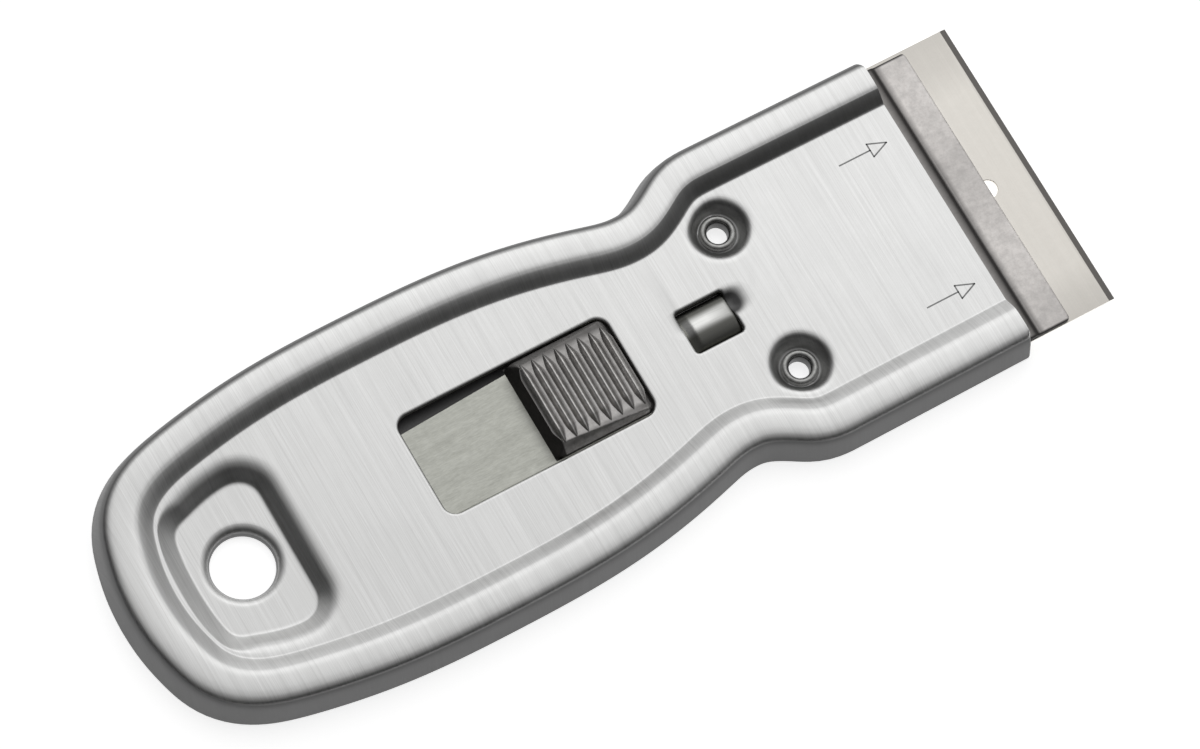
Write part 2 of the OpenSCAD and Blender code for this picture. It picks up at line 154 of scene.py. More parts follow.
def panel_edge():
    """Edge of the flat panel, from the left of the mouth round the rear to its right."""
    front, shoulder = FRONT_W/2 - RIM_W, SHOULDER_W/2 - RIM_W
    waist, belly = WAIST_W/2 - RIM_W, BELLY_W/2 - RIM_W
    rear, step = PANEL_REAR_X, 0.5
    wx = MOUTH_X - WAIST_BACK
    a, b = (wx + 10.4, shoulder), (wx + 7.4, waist + 0.68*(shoulder - waist))
    c, d = (wx, waist), (wx - 6, waist + 0.26*(belly - waist))
    e, f = (MOUTH_X - BELLY_BACK, belly), (rear + 9.5, belly*0.865)
    g = (rear + 1.15, belly*0.5)
    half = np.vstack([[(MOUTH_X, front), a], leg(a, 180, b, 211, pull=0.45), leg(b, 211, c, 180),
                      leg(c, 180, d, 165), leg(d, 165, e, 180), leg(e, 180, f, 191.5),
                      leg(f, 191.5, g, 254), leg(g, 254, (rear, 0), 270)])
    half = soften(even(half, step, False), 4, False)
    # Closer points at the mouth, where the outer wall turns in
    slope = (half[1, 1] - half[0, 1])/step
    mouth = [(MOUTH_X - d, half[0, 1] + slope*d) for d in (0.03, 0.08, 0.15, 0.25, 0.37)]
    return mirrored(np.vstack([half[:1], mouth, half[1:]]))


def rim_growth(edge):
    """How many times its width the rim is at each point of the edge: it grows at the rear."""
    return 1 + REAR_EXTRA/RIM_W*smooth(unit((PANEL_REAR_X + 8 - edge[:, 0])/8))


def rounded_box(x0, x1, width, r, step=0.25):
    """A rectangle with round corners, walked anticlockwise."""
    y = width/2
    out = []
    for cx, cy, start in ((x1 - r, y - r, 0), (x0 + r, y - r, 90), (x0 + r, -y + r, 180),
                          (x1 - r, -y + r, 270)):
        for k in range(13):
            a = math.radians(start + 90*k/12)
            out.append((cx + r*math.cos(a), cy + r*math.sin(a)))
    return even(out, step, True)


def ring(x, y, r, n=96):
    """A circle of n points, walked anticlockwise."""
    a = np.linspace(0, 2*math.pi, n, endpoint=False)
    return np.c_[x + r*np.cos(a), y + r*np.sin(a)]


def pad_edge():
    """Edge of the flat pad round the hang hole."""
    length, width, ahead = 11.3, 17.9, 0.505*10.9
    x1 = HANG_X + ahead
    x0 = x1 - length
    y = width/2
    half = np.vstack([[(x1, 0), (x1, y - 2.5)],
                      leg((x1, y - 2.5), 90, (x1 - 2.7, y), 180, pull=0.4),
                      leg((x1 - 2.7, y), 183, (x0 + 1.8, y - 1.6), 197),
                      leg((x0 + 1.8, y - 1.6), 197, (x0 + 0.35, y - 4), 262, pull=0.4),
                      leg((x0 + 0.35, y - 4), 262, (x0, 0), 270)])
    return soften(even(mirrored(half, True), 0.3, True), 5, True)


def spline(points, per_step=6):
    """A smooth line through the points of a section."""
    p = np.array(points, float)
    p = np.vstack([2*p[0] - p[1], p, 2*p[-1] - p[-2]])
    out = []
    for i in range(1, len(p) - 2):
        for t in np.arange(per_step)/per_step:
            out.append(0.5*(2*p[i] + (p[i+1] - p[i-1])*t
                            + (2*p[i-1] - 5*p[i] + 4*p[i+1] - p[i+2])*t*t
                            + (3*p[i] - p[i-1] - 3*p[i+1] + p[i+2])*t**3))
    out.append(p[-2])
    return np.array(out)


def spots(x0, x1, dx, y0, y1, dy):
    """A grid of points in a rectangle, which leaves out its far edges."""
    return [(x, y) for x in np.arange(x0, x1, dx) for y in np.arange(y0, y1, dy)]


class Sheet:
    """Collects the vertices and faces of one piece, in millimetres.

    Each vertex has a tone, which says how raw the metal is there and in places carries painted
    shade:
    0 is the plain finish, 1 is drawn, rough or dark, and 2 is sheared or worn. A section is a list
    of (distance out, height) or (distance out, height, tone).
    """

    def __init__(self):
        self.points = []
        self.tones = []
        self.faces = []

    def row(self, xyz, tone=0.0):
        """A row of vertices, with one tone or a tone for each."""
        start = len(self.points)
        self.points.extend([tuple(p) for p in xyz])
        self.tones.extend(np.broadcast_to(tone, len(xyz)).tolist())
        return list(range(start, start + len(xyz)))

    def band(self, a, b, closed, flip=False):
        """Quads from row a to row b; with both anticlockwise and b further out, they face up."""
        n = len(a) if closed else len(a) - 1
        for i in range(n):
            j = (i + 1) % len(a)
            face = (a[i], b[i], b[j], a[j])
            self.faces.append(face[::-1] if flip else face)

    def stack(self, outline, section, closed=True, flip=False, scale=None):
        """Rows of one outline, each moved out and set at its height as the section says."""
        n = outward(outline, closed)
        s = np.ones(len(outline)) if scale is None else scale
        rows = []
        for off, z, *tone in section:
            xy = outline + n*(off*s)[:, None]
            rows.append(self.row(np.c_[xy, np.full(len(xy), z)], tone[0] if tone else 0.0))
        for a, b in zip(rows, rows[1:]):
            self.band(a, b, closed, flip)
        return rows

    def fill(self, outer, holes, flip=False, extra=()):
        """A flat face inside the row outer, outside the rows in holes, through extra vertices."""
        loops = [outer] + holes
        ids = [i for lp in loops for i in lp] + list(extra)
        xy = [Vector(self.points[i][:2]) for i in ids]
        edges, k = [], 0
        for lp in loops:
            edges += [(k + i, k + (i + 1) % len(lp)) for i in range(len(lp))]
            k += len(lp)
        verts, _, faces, origin, _, _ = delaunay_2d_cdt(xy, edges, [], 1, 1e-7)
        polys = [np.array([self.points[i][:2] for i in lp]) for lp in holes]
        for f in faces:
            centre = np.mean([verts[i][:] for i in f], axis=0)
            if any(inside(centre, p) for p in polys):
                continue
            face = [ids[origin[i][0]] for i in f]
            a, b, c = (np.array(self.points[i][:2]) for i in face[:3])
            up = (b[0] - a[0])*(c[1] - a[1]) - (b[1] - a[1])*(c[0] - a[0]) > 0
            self.faces.append(tuple(face if up != flip else face[::-1]))

    def tube(self, rows, closed=True, flip=False):
        """Bands from row to row, with a flat face over each end."""
        for a, b in zip(rows, rows[1:]):
            self.band(a, b, closed, flip)
        first, last = (rows[0][::-1], rows[-1]) if flip else (rows[0], rows[-1][::-1])
        self.faces += [tuple(first), tuple(last)]

    def piece(self, name, smooth_below=34):
        """The object of that name, shaded smooth over edges under that many degrees."""
        mesh = bpy.data.meshes.new(name)
        mesh.from_pydata([tuple(c*MM for c in p) for p in self.points], [], self.faces)
        mesh.validate()
        mesh.polygons.foreach_set("use_smooth", [True]*len(mesh.polygons))
        mesh.set_sharp_from_angle(angle=math.radians(smooth_below))
        tone = mesh.attributes.new("tone", "FLOAT", "POINT")
        tone.data.foreach_set("value", self.tones)
        obj = bpy.data.objects.new(name, mesh)
        bpy.context.scene.collection.objects.link(obj)
        return obj


def inside(p, poly):
    """Whether the point p is inside a polygon."""
    x, y = p
    a, b = poly, np.roll(poly, -1, axis=0)
    cross = (a[:, 1] > y) != (b[:, 1] > y)
    if not cross.any():
        return False
    xs = (b[cross, 0] - a[cross, 0])*(y - a[cross, 1])/(b[cross, 1] - a[cross, 1]) + a[cross, 0]
    return bool((xs > x).sum() % 2)


def clear_run(outline, edge, run):
    """What share of a run outward from an outline is free before the foot of the rim."""
    foot = 0.4
    room = np.array([np.linalg.norm(edge - q, axis=1).min() for q in outline]) - foot
    share = np.minimum(1.0, room/run)
    for _ in range(6):
        share = np.minimum(share, (np.roll(share, 1) + share + np.roll(share, -1))/3)
    return share


def rim(s, edge):
    """The rim, swept along the edge from the panel's face over the outer wall to the underside."""
    p, f, h = PANEL_Z, RIM_W, RIM_H
    # Distance out from the panel's edge, height over the panel
    top = np.vstack([[(-0.36, 0)], spline([
        (-0.3, 0), (-0.18, 0.02), (-0.03, 0.1), (0.2, 0.26), (0.85, 0.74), (1.4, 1.07), (1.75, 1.2),
        (2.1, 1.27), (2.6, h), (3.4, h), (4.1, h - 0.04), (4.7, h - 0.15), (5.2, h - 0.41),
        (5.54, 0.42), (5.73, 0), (5.88, -0.5), (6.08, -1.3), (6.28, -2.2), (f, 0.1 - p)], 5),
        [(f - 0.02, 0.03 - p), (f - 0.09, -p)]])
    low = [(f - SHEET_T + 0.05, -p), (f - SHEET_T, 0.05 - p), (f - SHEET_T, 0.1 + BACK_T - p),
           (f - 0.42 - SHEET_T, -1.2), (f - 0.75 - SHEET_T, -0.5), (4.45, h - 0.42 - SHEET_T),
           (3.6, h - SHEET_T), (2.4, h - SHEET_T), (1.7, h - SHEET_T - 0.3), (0.5, -SHEET_T),
           (0, -SHEET_T)]
    # The drawn wall is rougher than the brushed face, and darker as painted shade: it begins sooner
    # on the far side
    across = outward(edge, False)[:, 1]
    begins, fade = 4.87 - 0.28*across, 0.4 + 0.15*across
    section = [(a, b + p, unit((a - begins)/fade)) for a, b in top]
    rows = s.stack(edge, section + [(a, b + p, 1.0) for a, b in low], closed=False,
                   scale=rim_growth(edge))
    # The left flank gets painted shade towards the front, and the outer wall turns in a little at
    # the mouth
    for row, (a, b) in zip(rows, top):
        flank = 0.7 if 0 < a < 1.6 else 0.3 if -0.1 < a <= 0 else None
        for i in row:
            x, y, z = s.points[i]
            if flank and y > 0:
                s.tones[i] = flank*unit((x - 9)/9)
            turn = rounded(MOUTH_X - x, 0.5)*unit((a - 4.6)/0.8)
            s.points[i] = (x, y - turn*np.sign(y), z)
    # The cut at the mouth
    s.faces.append(tuple(r[0] for r in rows))
    s.faces.append(tuple(r[-1] for r in rows[::-1]))
    s.faces.append((rows[0][0], rows[-1][0], rows[-1][-1], rows[0][-1]))
    return rows


def windows(s):
    """The pierced edges of the two windows, as pairs of a top row and a low row."""
    pierced = [(0.42, 0, 0), (0.34, 0, 0), (0.2, -0.02, 0), (0.08, -0.09, 0.2), (0.01, -0.2, 1),
               (0, -0.24, 2), (0, 0.14 - SHEET_T, 2), (0.05, 0.04 - SHEET_T, 1),
               (0.14, -SHEET_T, 1), (0.3, -SHEET_T, 1)]
    section = [(a, b + PANEL_Z, c) for a, b, c in pierced]
    pairs = []
    for outline in (rounded_box(WINDOW_X0, WINDOW_X1, WINDOW_W, 1.5),
                    rounded_box(LOCK_X0, LOCK_X1, LOCK_W, 0.4)):
        r = s.stack(outline, section, flip=True)
        pairs.append((r[0], r[-1]))
    return pairs


def dimples(s, edge):
    """The dimples of the eyelets, down to the seat and up again, as pairs of rows."""
    p, seat, run = PANEL_Z, DIMPLE_R - 1.7, 2.55
    bore = EYELET_R + SEAT_GAP - seat
    down = spline([(2.45, p), (2.15, p - 0.02), (1.85, p - 0.09), (1.58, p - 0.25),
                   (1.32, p - 0.52), (1.1, p - 0.86), (0.88, SEAT_Z + 0.42), (0.68, SEAT_Z + 0.17),
                   (0.5, SEAT_Z + 0.03)], 5)
    down = ([(run, p)] + [(a, z, 0.6*unit((p - 0.06 - z)/0.5)) for a, z in down]
            + [(0, SEAT_Z, 0.65)])
    under = [(0, SEAT_Z, 0.65), (bore, SEAT_Z, 1), (bore, BACK_T, 1), (0.9, BACK_T, 1),
             (1.25, BACK_T + 0.35, 1), (1.65, UNDER_Z - 0.1, 1), (1.85, UNDER_Z, 1),
             (2.1, UNDER_Z, 1)]
    pairs = []
    for side in (-1, 1):
        c = ring(EYELET_X, side*EYELET_Y, seat)
        top = s.stack(c, down, flip=True, scale=clear_run(c, edge, run))[0]
        pairs.append((top, s.stack(c, under, flip=True)[-1]))
    return pairs


def pocket(s, edge):
    """The pocket, its pad and the rolled collar of the hang hole, as a top row and a low row."""
    pad, p, reach = pad_edge(), PANEL_Z, 3.3
    run = clear_run(pad, edge, reach)
    # At the rear the pocket starts at the very foot of the rim, where its slope is steeper:
    # distance out where there is room, distance out where there is none, height
    free = unit((run - 0.7)/0.25)
    soft = spline([(3.2, 3.2, p), (2.85, 3.1, p - 0.015), (2.45, 2.95, p - 0.07),
                   (2.05, 2.75, p - 0.19), (1.6, 2.4, p - 0.42), (1.1, 1.7, p - 0.8),
                   (0.65, 1.0, p - 1.15), (0.3, 0.42, SEAT_Z + 0.14), (0.12, 0.15, SEAT_Z + 0.04),
                   (-0.05, -0.05, SEAT_Z)], 5)
    slope = ([(reach*run, p)] + [((free*a + (1 - free)*b)*run, z) for a, b, z in soft]
             + [(-0.3*run, SEAT_Z)])
    rows = s.stack(pad, slope, flip=True)
    r, z = HANG_R, SEAT_Z
    throat = spline([(r + 1.3, z), (r + 1.05, z - 0.02), (r + 0.75, z - 0.11), (r + 0.47, z - 0.27),
                     (r + 0.24, z - 0.5), (r + 0.08, z - 0.8), (r, z - 1.15)], 4)
    rolled = [(r, 0.12), (r + 0.05, 0.03), (r + 0.14, 0), (r + 0.72, 0), (r + 0.8, 0.08),
              (r + 0.5, 0.34), (r + 0.5, BACK_T), (r + 0.9, BACK_T)]
    collar = ([(r + 1.45, z)] + [(a, b, unit((z - 0.15 - b)/0.6)) for a, b in throat]
              + [(a, b, 1) for a, b in rolled])
    collar = s.stack(ring(HANG_X, 0, POINT_R, 128), collar, flip=True)
    s.fill(rows[-1], [collar[0]])
    under = [(0.3, BACK_T, 1), (0.5, BACK_T + 0.03, 1), (0.75, BACK_T + 0.16, 1),
             (2.0, UNDER_Z - 0.1, 1), (2.2, UNDER_Z, 1), (2.4, UNDER_Z, 1)]
    under = s.stack(pad, under, flip=True, scale=run)
    s.fill(under[0], [collar[-1]], flip=True)
    return rows[0], under[-1]


def ramp(x, y):
    """Depth of the ramp in front of the lock window and of the small sink behind it."""
    u, v = (x - LOCK_X1)/1.6, (y - 0.95)/1.25
    front = 0.7*math.exp(-1.3*max(u, 0)**2.2)*math.exp(-abs(v)**3) if x > LOCK_X1 - 0.6 else 0.0
    u, v = (LOCK_X0 - x)/1.1, (y - 1.4)/1.3
    rear = 0.14*math.exp(-2.2*max(u, 0)**1.5)*math.exp(-abs(v)**3) if x < LOCK_X0 + 0.6 else 0.0
    return front + rear


def front_shell():
    """The brushed stamping: rim, panel, windows, dimples, pocket and collar."""
    s = Sheet()
    edge = panel_edge()
    rows = rim(s, edge)
    top, low = zip(*windows(s), *dimples(s, edge), pocket(s, edge))
    # The ramp and the sink at the lock window are pressed down through grids of their own
    grid = (spots(LOCK_X1 + 0.5, LOCK_X1 + 3.1, 0.12, -1.4, 3.4, 0.12)
            + spots(LOCK_X0 - 1.8, LOCK_X0 - 0.4, 0.2, -0.4, 3.0, 0.2))
    s.fill(rows[0], list(top), extra=s.row([(x, y, PANEL_Z) for x, y in grid]))
    s.fill(rows[-1], list(low), flip=True)
    for i, (x, y, z) in enumerate(s.points):
        depth = ramp(x, y)
        if z > UNDER_Z + 0.1 and depth > 0.004:
            s.points[i] = (x, y, z - depth*(z - UNDER_Z)/SHEET_T)
            # Painted shade: the dents darken with their depth
            s.tones[i] = max(s.tones[i], min(1, depth/0.3))
    return s.piece("front_shell_pressed")


def back_plate():
    """The flat plate that closes the back, with countersinks under the rolled ends."""
    s = Sheet()
    edge = panel_edge()
    reach = RIM_W - SHEET_T - SEAT_GAP - 0.02
    outline = even(edge + outward(edge, False)*(reach*rim_growth(edge))[:, None], 0.6, False)
    # The inner face takes tone 1 all over: painted shade inside the shell
    rows = s.stack(outline, [(-0.4, BACK_T, 1), (-0.12, BACK_T, 1), (-0.04, BACK_T - 0.03, 1),
                             (0, BACK_T - 0.1, 1), (0, 0.1), (-0.04, 0.03), (-0.12, 0), (-0.4, 0)])
    top, low = [], []
    for x, y, r in ((EYELET_X, EYELET_Y, EYELET_R), (EYELET_X, -EYELET_Y, EYELET_R),
                    (HANG_X, 0, HANG_R + 0.5)):
        h = s.stack(ring(x, y, POINT_R), [(r + 0.4, BACK_T, 1), (r + SEAT_GAP, BACK_T, 1),
                                          (r + SEAT_GAP, 0.42), (r + 0.4, 0.06), (r + 0.5, 0),
                                          (r + 0.9, 0)], flip=True)
        top.append(h[0])
        low.append(h[-1])
    s.fill(rows[0], top)
    s.fill(rows[-1], low, flip=True)
    return s.piece("back_plate_flat")


def eyelet(side, name):
    """A tubular rivet with its curled head and its rolled end; inside its bore it is darkened as
    painted shade.
    """
    s = Sheet()
    b, r, z = BORE_R, EYELET_R, SEAT_Z
    curl = spline([(b, z - 0.3), (b + 0.02, z + 0.05), (b + 0.12, z + 0.28), (b + 0.3, z + 0.43),
                   (b + 0.52, z + 0.48), (b + 0.76, z + 0.4), (b + 0.93, z + 0.22),
                   (b + 0.98, z + 0.06), (b + 0.95, z)], 4)
    section = [(a, h, float(a < b + 0.1)) for a, h in curl]
    section += [(r, z), (r, 0.42), (r + 0.4, 0.12), (r + 0.36, 0.02), (r + 0.25, 0), (b + 0.12, 0),
                (b + 0.03, 0.05, 1.0), (b, 0.15, 1.0)]
    rows = s.stack(ring(EYELET_X, side*EYELET_Y, POINT_R), section)
    s.band(rows[-1], rows[0], True)
    return s.piece(name, 50)


def eyelet_left():
    """The rivet on the left of the neck."""
    return eyelet(1, "eyelet_left_curled")


def eyelet_right():
    """The rivet on the right of the neck."""
    return eyelet(-1, "eyelet_right_curled")


def stamped_edge(top, low, r=0.1):
    """The section of a stamped plate's edge, top first."""
    return [(-r - 0.04, top), (-r, top), (-0.3*r, top - 0.3*r), (0, top - r), (0, low + r),
            (-0.3*r, low + 0.3*r), (-r, low), (-r - 0.04, low)]


def tail_and_neck(s):
    """The flat part of the slide: its tail in the thumb window and its neck between the eyelets."""
    half, taper, neck = 6.4, 1.55, 5.5
    rear, waist, front = WINDOW_X0 - 0.75, EYELET_X - 3.4, SPINE_X + 1
    outline = [(rear, -half), (waist, -half), (waist, -neck), (front, -neck), (front, neck),
               (waist, neck), (waist, half), (WINDOW_X1, half), (rear, half - taper)]
    top, low = SLIDE_Z + SLIDE_T, SLIDE_Z
    # Painted shade: the tail is darker towards the button
    shaded = spots(WINDOW_X0, BUTTON_X0 + 1, 0.5, -5.9, 4.6, 0.7)
    shade = [0.25*unit((x - BUTTON_X0 + 1.6)/1.5)**2 for x, y in shaded]
    # Painted shade on the plate round the front of the button
    button_gap_shade = spots(BUTTON_X1 - 2, BUTTON_X1 + 1.3, 0.4, -6, 6.1, 0.6)
    marks = s.row([(x, y, top) for x, y in shaded + button_gap_shade], shade + [1.0]*len(button_gap_shade))
    rows = s.stack(soften(even(outline, 0.3, True), 2, True), stamped_edge(top, low))
    slot = s.stack(rounded_box(LOCK_X0 - 0.1, LOCK_X1 + 0.1, LOCK_W + 0.2, 0.3),
                   [(0.06, top), (0, top - 0.06, 1), (0, low + 0.03, 1), (0.03, low)], flip=True)
    s.fill(rows[0], [slot[0]], extra=marks)
    s.fill(rows[-1], [slot[-1]], flip=True)


def head_and_lip(s):
    """The head over the blade and the lip bent down to it: one section, swept across the tool."""
    def drop(x):
        return LEAF*smooth(unit((x - MOUTH_X - 1.1)/0.7))

    xs = np.r_[SPINE_X - 1.6, np.linspace(MOUTH_X - 0.3, MOUTH_X + 2.7, 41),
               np.linspace(MOUTH_X + 3, LIP_X - 0.6, 4)]
    nose = [(LIP_X - 0.3, 0.0), (LIP_X - 0.12, 0.02), (LIP_X - 0.03, 0.09), (LIP_X, 0.2)]
    z = SLIDE_Z + SLIDE_T
    loop = ([(x, z - drop(x)) for x in xs] + [(x, z - LEAF - d) for x, d in nose]
            + [(x, SLIDE_Z - LEAF + 0.6*d) for x, d in nose[::-1]]
            + [(x, SLIDE_Z - drop(x)) for x in xs[::-1]])
    # Painted shade on the strip at the mouth and on the bend, then the worn lip
    raw_and_shade = np.interp([x - MOUTH_X for x, z in loop], [0.1, 0.4, 0.9, 1.2, 1.5, 1.9, 2.5],
                    [1.45, 1.4, 1.2, 1.02, 1.02, 1.5, 2.0])
    w, trim = LIP_W/2, 0.45
    ys = [-w, -w + 0.04, -w + 0.12, -w + 0.35, -w + 0.7]
    ys = ys + list(np.linspace(-w + 1.2, w - 1.2, 17)) + [-y for y in ys[::-1]]
    rows = []
    # The lip's left end is trimmed. Its sheared ends are dark, and its wear comes and goes
    for y in ys:
        e = w - abs(y)
        y = (y + w)*(1 - trim/LIP_W) - w
        back, sink = rounded(e, 0.6), rounded(e, 0.1)
        tone = raw_and_shade - 0.08*(1 + math.cos(0.3*(y - 2)))*(raw_and_shade > 1.5) if e > 0.13 else 1.0
        rows.append(s.row([(min(x, LIP_X - back), y*(1 if x > MOUTH_X + 0.4 else 1 - 0.3/w),
                            z - sink*np.sign(z - SLIDE_Z - SLIDE_T/2 + drop(x)))
                           for x, z in loop], tone))
    s.tube(rows, flip=True)


def slide_plate():
    """Tail and neck under the panel, head over the blade, and the lip bent down to the blade."""
    s = Sheet()
    tail_and_neck(s)
    head_and_lip(s)
    return s.piece("slide_plate_bent", 40)


def rib_tree():
    """Nodes for the ribs: a row of ridges across the button, each pointed at both ends."""
    t = bpy.data.node_groups.new("button_ribs", "GeometryNodeTree")
    t.interface.new_socket("Geometry", in_out="OUTPUT", socket_type="NodeSocketGeometry")
    for name, kind in (("Rib Count", "Int"), ("First Crest", "Vector"), ("Step To Next", "Vector"),
                       ("Rib Width", "Float"), ("Rib Length", "Float"), ("Rib Height", "Float"),
                       ("Point Length", "Float"), ("Metal", "Material")):
        t.interface.new_socket(name, in_out="INPUT", socket_type="NodeSocket" + kind)
    size = add(t, "NodeGroupInput").outputs
    patch = add(t, "GeometryNodeMeshGrid", Size_X=size["Rib Width"], Size_Y=size["Rib Length"],
                Vertices_X=17, Vertices_Y=61)
    at = add(t, "ShaderNodeSeparateXYZ", i0=add(t, "GeometryNodeInputPosition")).outputs
    # Share of the full width: 1 along the rib, falling to 0 over its points
    end = add(t, "ShaderNodeMath", {"operation": "ABSOLUTE"}, i0=at[1])
    half = add(t, "ShaderNodeMath", {"operation": "MULTIPLY"}, i0=size["Rib Length"], i1=0.5)
    left = add(t, "ShaderNodeMath", {"operation": "SUBTRACT"}, i0=half, i1=end)
    share = add(t, "ShaderNodeMath", {"operation": "DIVIDE", "use_clamp": True}, i0=left,
                i1=size["Point Length"])
    share = add(t, "ShaderNodeMath", {"operation": "POWER"}, i0=share, i1=0.7)
    # Height over the width: a crest with hollow flanks
    turn = add(t, "ShaderNodeMath", {"operation": "DIVIDE"}, i0=at[0], i1=size["Rib Width"])
    turn = add(t, "ShaderNodeMath", {"operation": "MULTIPLY"}, i0=turn, i1=2*math.pi)
    wave = add(t, "ShaderNodeMath", {"operation": "COSINE"}, i0=turn)
    wave = add(t, "ShaderNodeMath", {"operation": "MULTIPLY_ADD"}, i0=wave, i1=0.5, i2=0.5)
    wave = add(t, "ShaderNodeMath", {"operation": "POWER"}, i0=wave, i1=1.5)
    rise = add(t, "ShaderNodeMath", {"operation": "MULTIPLY"}, i0=wave, i1=share)
    # The rib's foot lies a little below the floor of the grooves
    rise = add(t, "ShaderNodeMath", {"operation": "SUBTRACT"}, i0=rise, i1=1.02)
    rise = add(t, "ShaderNodeMath", {"operation": "MULTIPLY"}, i0=rise, i1=size["Rib Height"])
    across = add(t, "ShaderNodeMath", {"operation": "MULTIPLY"}, i0=at[0], i1=share)
    spot = add(t, "ShaderNodeCombineXYZ", i0=across, i1=at[1], i2=rise)
    ridge = add(t, "GeometryNodeSetPosition", Geometry=patch, Position=spot)
    places = add(t, "GeometryNodeMeshLine", Count=size["Rib Count"],
                 Start_Location=size["First Crest"], Offset=size["Step To Next"])
    row = add(t, "GeometryNodeInstanceOnPoints", Points=places, Instance=ridge)
    solid = add(t, "GeometryNodeRealizeInstances", Geometry=row)
    done = add(t, "GeometryNodeSetMaterial", Geometry=solid, Material=size["Metal"])
    add(t, "NodeGroupOutput", Geometry=done)
    return t


def ribs_of(values):
    """The mesh that the rib nodes make from a dict of their named inputs."""
    obj = bpy.data.objects.new("ribs", bpy.data.meshes.new("ribs"))
    bpy.context.scene.collection.objects.link(obj)
    mod = obj.modifiers.new("ribs", "NODES")
    mod.node_group = rib_tree()
    for item in mod.node_group.interface.items_tree:
        if item.name in values:
            mod[item.identifier] = values[item.name]
    made = obj.evaluated_get(bpy.context.evaluated_depsgraph_get())
    mesh = bpy.data.meshes.new_from_object(made)
    obj.modifiers.remove(mod)
    bpy.data.objects.remove(obj)
    return mesh


def thumb_button():
    """The wedge of the button with its ribs: the crests fall towards the front."""
    s = Sheet()
    foot, top, fall = SLIDE_Z + SLIDE_T, PANEL_Z + 1.9, 0.9
    deep, ribs, half = 0.6, 8, 6.2
    x0, last = BUTTON_X0 + 1.5, BUTTON_X1 - 0.75
    pitch, run = (last - x0)/(ribs - 1), last - x0
    middle, half_len, corner_r = (BUTTON_X0 + BUTTON_X1)/2, 6.4, 1.2
    xs = np.r_[np.linspace(BUTTON_X0, x0 - 0.06, 10), np.linspace(x0, last, 24),
               np.linspace(last + 0.1, BUTTON_X1 - 0.1, 8), BUTTON_X1]
    ys = np.r_[-half, -half + 0.05, np.linspace(-half + 0.15, -4.0, 20), np.linspace(-3.6, 3.6, 9),
               np.linspace(4.0, half - 0.15, 20), half - 0.05, half]

    def height(x, y):
        """Steep rear wall, then the floor of the grooves, then the nose; the sides slope."""
        e = half - abs(y)
        floor = top - deep - fall*(x - x0)/run
        if x < x0 - 0.2:
            z = foot + (x - BUTTON_X0)*(top - 0.12 - foot)/(x0 - BUTTON_X0)
        elif x < x0:
            z = top - deep - 0.02
        elif x <= last:
            z = floor
        else:
            z = floor - 0.05 - 1.3*(x - last - 0.2)**2
        z = min(z, foot + 0.75 + e*1.25)
        corner = math.hypot(max(0, corner_r - e), max(0, abs(x - middle) - half_len + corner_r))
        if corner > 1.0:
            z = min(z, foot + 1.0 + (corner_r - corner)*5)
        return max(z, foot + 0.02)

    def skin_and_shade(x, y):
        """Dark casting skin in the grooves, and painted shade on the rear wall, nose, left side and
        the right shoulder.
        """
        if x < x0 - 0.35:
            return 1.0
        grooves = min(0.38 + 0.07*y/half, 0.1 + 0.4*max(0, half - 0.7 - abs(y)))
        shoulder = unit((-y - 4.4)/0.8)*unit((half - 0.3 + y)/0.3)*(0.5 + 0.5*unit((x - x0)/run))
        return max(grooves, 0.75*shoulder, 0.85*unit((y - 3.8)/1.5), 0.85*unit((x - last)/0.15))

    grid = [[s.row([(x, y, height(x, y))], skin_and_shade(x, y))[0] for y in ys] for x in xs]
    for a, b in zip(grid, grid[1:]):
        for j in range(len(ys) - 1):
            s.faces.append((a[j], b[j], b[j + 1], a[j + 1]))
    edge = ([column[0] for column in grid] + grid[-1][1:]
            + [column[-1] for column in grid[-2::-1]] + grid[0][-2:0:-1])
    low = s.row([(s.points[i][0], s.points[i][1], foot) for i in edge], 1)
    s.band(low, edge, True)
    s.faces.append(tuple(low[::-1]))
    mesh = ribs_of({"Rib Count": ribs, "First Crest": (x0*MM, 0, top*MM), "Rib Width": pitch*MM,
                    "Step To Next": (pitch*MM, 0, -fall/(ribs - 1)*MM), "Rib Length": 10.6*MM,
                    "Rib Height": deep*MM, "Point Length": 1.7*MM, "Metal": BUTTON})
    at = [tuple(c/MM for c in v.co) for v in mesh.vertices]
    # Polished at the crests, and more so towards the right
    crests = s.row(at, [(0.75 + 0.12*y/half)*min(1, max(0, top - fall*(x - x0)/run - z)/deep)
                        for x, y, z in at])
    s.faces += [tuple(crests[i] for i in f.vertices) for f in mesh.polygons]
    return s.piece("thumb_button_ribbed", 60)


